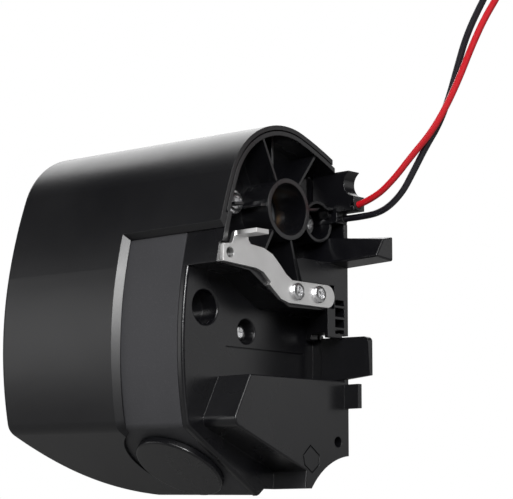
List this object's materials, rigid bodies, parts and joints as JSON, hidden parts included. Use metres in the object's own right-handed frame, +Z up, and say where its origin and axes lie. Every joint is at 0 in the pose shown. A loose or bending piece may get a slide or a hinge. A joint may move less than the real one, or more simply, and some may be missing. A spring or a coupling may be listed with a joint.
{
  "type": "roller shutter motor",
  "caption": "Roller shutter drive head: a gear motor in a curved black end case with a boss, fixing lugs, a steel bracket, a round access cap and supply leads.",
  "frame": {"origin": "centre of the boss mouth, on the roller axis, in the plane where the head meets the cassette", "axes": "+X along the roller axis out of the open end, +Y to the wall, +Z up"},
  "size_m": [0.2431, 0.0905, 0.236],
  "materials": {
    "case_black": "fine-grained, satin",
    "panel_grey": "finely speckled, matt",
    "frame_black": "smooth, satin",
    "zinc": "zinc-plated, matt",
    "screw_steel": "bright zinc",
    "rubber_black": "smooth",
    "red_pvc": "smooth, satin",
    "black_pvc": "smooth, satin",
    "steel": "ground",
    "acetal": "smooth",
    "grey_nylon": "smooth",
    "bronze": "sintered",
    "copper": "enamelled",
    "ferrite": "dull",
    "carbon": "dull",
    "laminate": "green lacquer",
    "component_black": "moulded",
    "terminal_green": "smooth",
    "button_red": "smooth"
  },
  "bodies": {
    "case": {"outer_cover": "case_black", "recess_panel": "panel_grey", "end_frame": "frame_black", "lower_housing": "frame_black", "back_plate": "case_black", "cable_outlet": "frame_black", "lead_grommets": "rubber_black", "arm_bracket": "zinc", "set_switch": "component_black", "switch_carrier": "grey_nylon", "bracket_screws": "screw_steel", "frame_screws": "screw_steel", "plate_screw": "screw_steel", "cover_screws": "screw_steel", "gearbox_cover": "grey_nylon", "hub_bush": "bronze", "ring_gear": "steel", "motor_flange": "steel", "gearbox_screws": "screw_steel", "motor_can": "zinc", "magnets": "ferrite", "motor_bushes": "bronze", "brushes": "carbon", "end_bell": "component_black", "motor_screws": "screw_steel", "motor_cradle": "rubber_black", "control_board": "laminate", "board_parts": "component_black", "board_screws": "screw_steel", "terminal_block": "terminal_green", "red_lead": "red_pvc", "black_lead": "black_pvc", "red_ferrule": "zinc", "black_ferrule": "zinc"},
    "output": {"output_hub": "steel", "hub_pins": "steel"},
    "first_carrier": {"first_carrier": "steel", "first_pins": "steel"},
    "rotor": {"motor_shaft": "steel", "motor_pinion": "steel", "armature": "steel", "windings": "copper", "commutator": "copper"},
    "cap": {"access_cap": "frame_black", "cap_seal": "rubber_black"},
    "button": {"set_button": "button_red"},
    "second_planet_1": {"second_planet_1": "acetal"},
    "first_planet_1": {"first_planet_1": "acetal"},
    "second_planet_2": {"second_planet_2": "acetal"},
    "first_planet_2": {"first_planet_2": "acetal"},
    "second_planet_3": {"second_planet_3": "acetal"},
    "first_planet_3": {"first_planet_3": "acetal"}
  },
  "joints": [
    {"name": "motor_spin", "type": "hinge", "parent": "case", "child": "rotor", "pos_m": [-0.05, 0, 0], "axis": [1, 0, 0], "continuous": true},
    {"name": "carrier_spin", "type": "hinge", "parent": "case", "child": "first_carrier", "pos_m": [-0.04, 0, 0], "axis": [1, 0, 0], "continuous": true},
    {"name": "hub_spin", "type": "hinge", "parent": "case", "child": "output", "pos_m": [-0.02, 0, 0], "axis": [1, 0, 0], "continuous": true},
    {"name": "first_planet_1_spin", "type": "hinge", "parent": "first_carrier", "child": "first_planet_1", "pos_m": [-0.047, 0, 0.012], "axis": [1, 0, 0], "continuous": true},
    {"name": "second_planet_1_spin", "type": "hinge", "parent": "output", "child": "second_planet_1", "pos_m": [-0.034, 0, 0.012], "axis": [1, 0, 0], "continuous": true},
    {"name": "first_planet_2_spin", "type": "hinge", "parent": "first_carrier", "child": "first_planet_2", "pos_m": [-0.047, -0.01039, -0.006], "axis": [1, 0, 0], "continuous": true},
    {"name": "second_planet_2_spin", "type": "hinge", "parent": "output", "child": "second_planet_2", "pos_m": [-0.034, -0.01039, -0.006], "axis": [1, 0, 0], "continuous": true},
    {"name": "first_planet_3_spin", "type": "hinge", "parent": "first_carrier", "child": "first_planet_3", "pos_m": [-0.047, 0.01039, -0.006], "axis": [1, 0, 0], "continuous": true},
    {"name": "second_planet_3_spin", "type": "hinge", "parent": "output", "child": "second_planet_3", "pos_m": [-0.034, 0.01039, -0.006], "axis": [1, 0, 0], "continuous": true},
    {"name": "cap_pull", "type": "slide", "parent": "case", "child": "cap", "axis": [0, -0.5433, -0.8396], "range_m": [0, 0.02]},
    {"name": "button_press", "type": "slide", "parent": "case", "child": "button", "axis": [0, 0.5433, 0.8396], "range_m": [0, 0.0015], "stiffness_N_per_m": 300, "springref_m": -0.002}
  ],
  "couplings": [
    {"joint": "carrier_spin", "follows": "motor_spin", "ratio": 0.25},
    {"joint": "hub_spin", "follows": "motor_spin", "ratio": 0.0625},
    {"joint": "first_planet_1_spin", "follows": "motor_spin", "ratio": -0.75},
    {"joint": "second_planet_1_spin", "follows": "motor_spin", "ratio": -0.1875},
    {"joint": "first_planet_2_spin", "follows": "motor_spin", "ratio": -0.75},
    {"joint": "second_planet_2_spin", "follows": "motor_spin", "ratio": -0.1875},
    {"joint": "first_planet_3_spin", "follows": "motor_spin", "ratio": -0.75},
    {"joint": "second_planet_3_spin", "follows": "motor_spin", "ratio": -0.1875}
  ]
}
